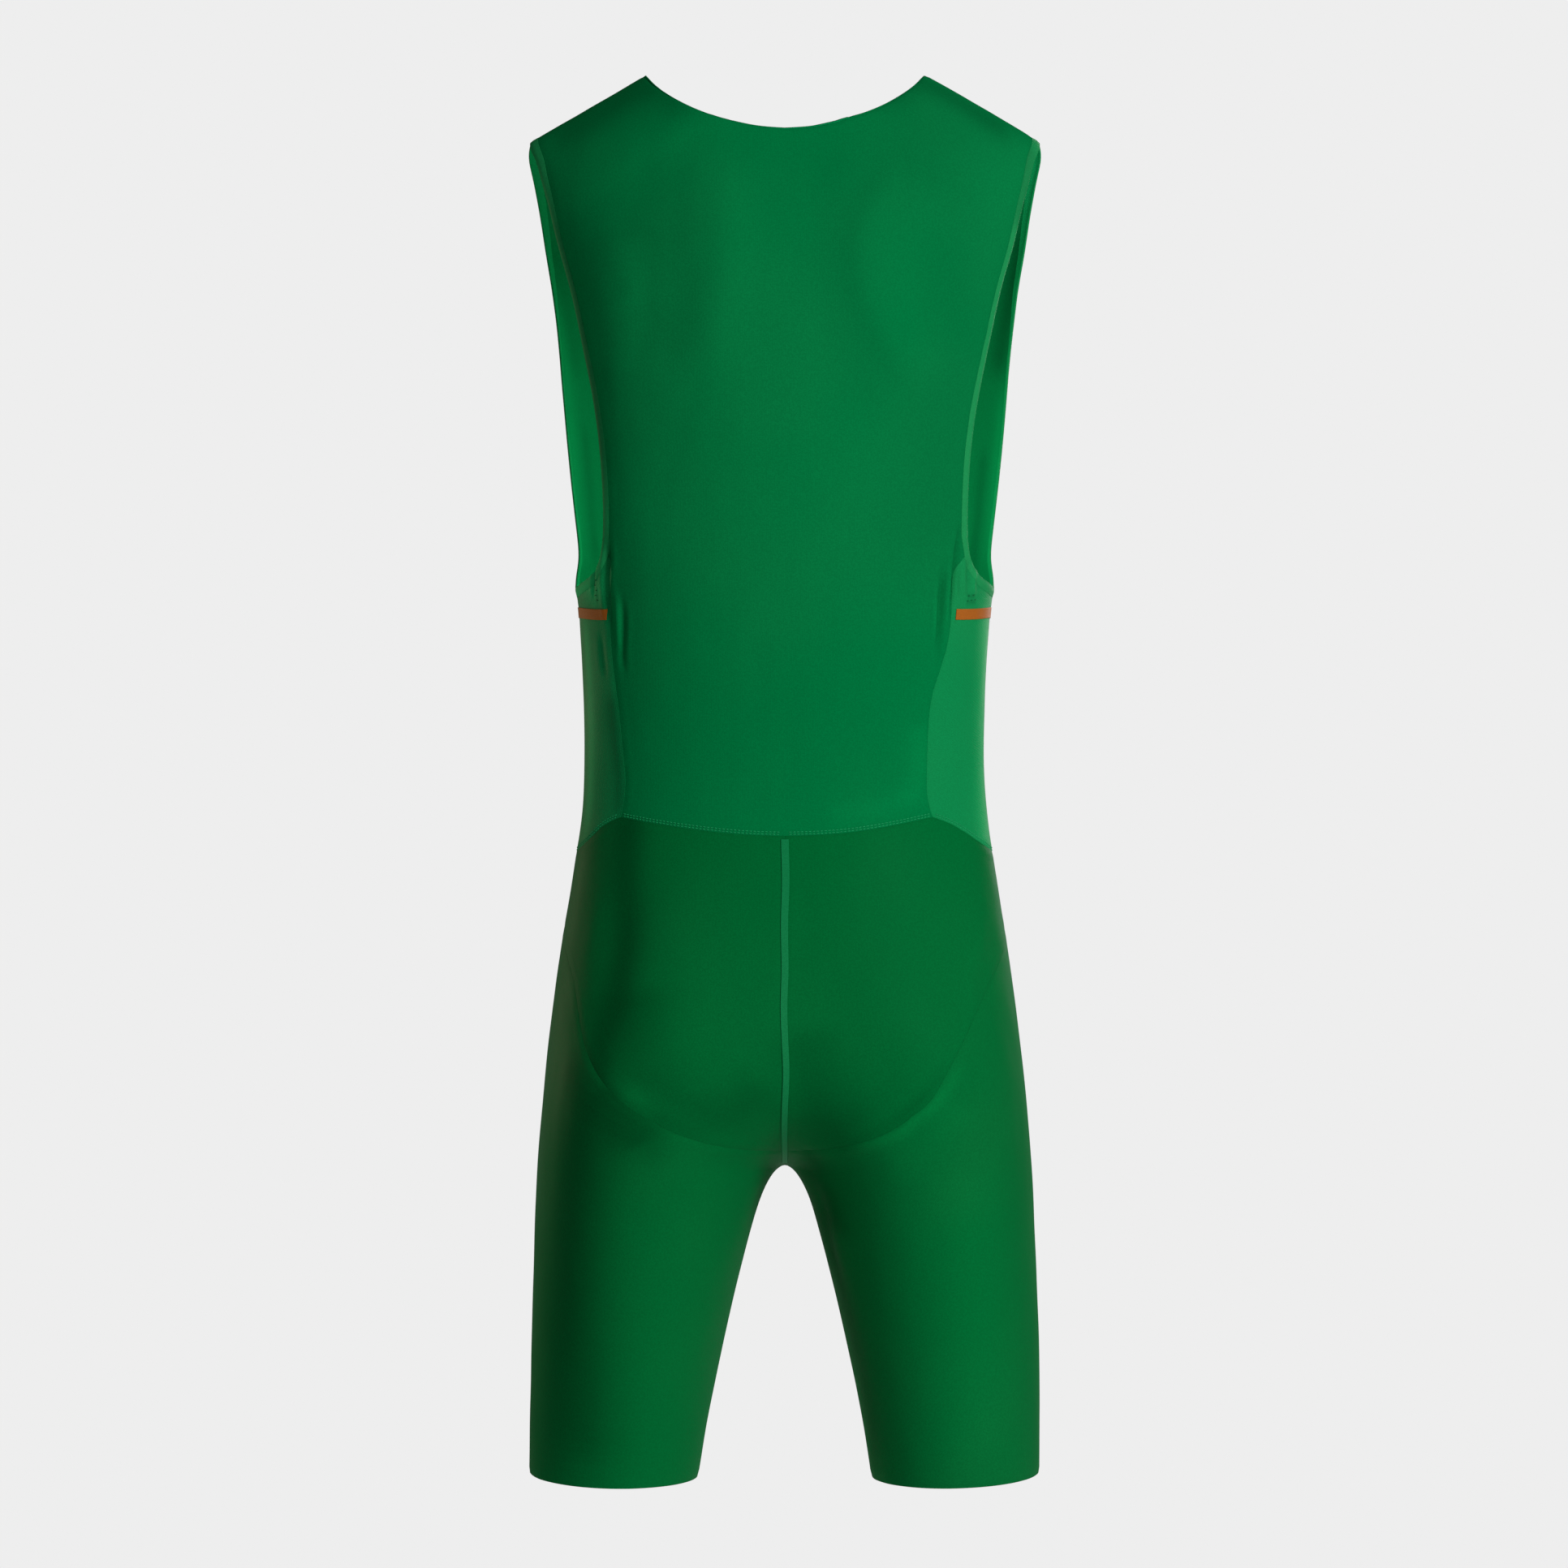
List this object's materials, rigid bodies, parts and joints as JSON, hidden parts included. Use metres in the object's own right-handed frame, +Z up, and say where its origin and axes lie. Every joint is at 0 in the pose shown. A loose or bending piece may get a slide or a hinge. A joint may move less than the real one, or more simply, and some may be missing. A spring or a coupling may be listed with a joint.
{
  "type": "athletics bodysuit",
  "caption": "Sleeveless knit bodysuit with deep armholes, a shallow neckline, contrast side panels, a waist seam and short legs, filled out as if worn.",
  "frame": {"origin": "midway between the two points where the shoulder seams meet the neckline, where the wearer's shoulders hold the garment up", "axes": "+Z up along the body, +X towards the wearer's left, the wearer faces -Y"},
  "size_m": [0.3656, 0.2528, 0.9912],
  "materials": {
    "green_knit": "smooth stretch knit with a satin sheen",
    "dark_green_knit": "smooth stretch knit, darker and slightly shinier",
    "light_green_mesh": "light green stretch mesh",
    "green_binding": "folded knit binding",
    "green_tape": "flat bonded seam tape",
    "orange_tape": "flat bonded orange tape"
  },
  "bodies": {
    "root": {"upper_back": "green_knit", "upper_front": "green_knit", "side_panel_left": "light_green_mesh", "side_panel_right": "light_green_mesh", "seat_panel_left": "dark_green_knit", "seat_panel_right": "dark_green_knit", "leg_panel_left": "dark_green_knit", "leg_panel_right": "dark_green_knit", "armhole_band_left": "green_binding", "armhole_band_right": "green_binding", "side_tape_left": "orange_tape", "side_tape_right": "orange_tape", "centre_back_tape": "green_tape"}
  },
  "joints": []
}
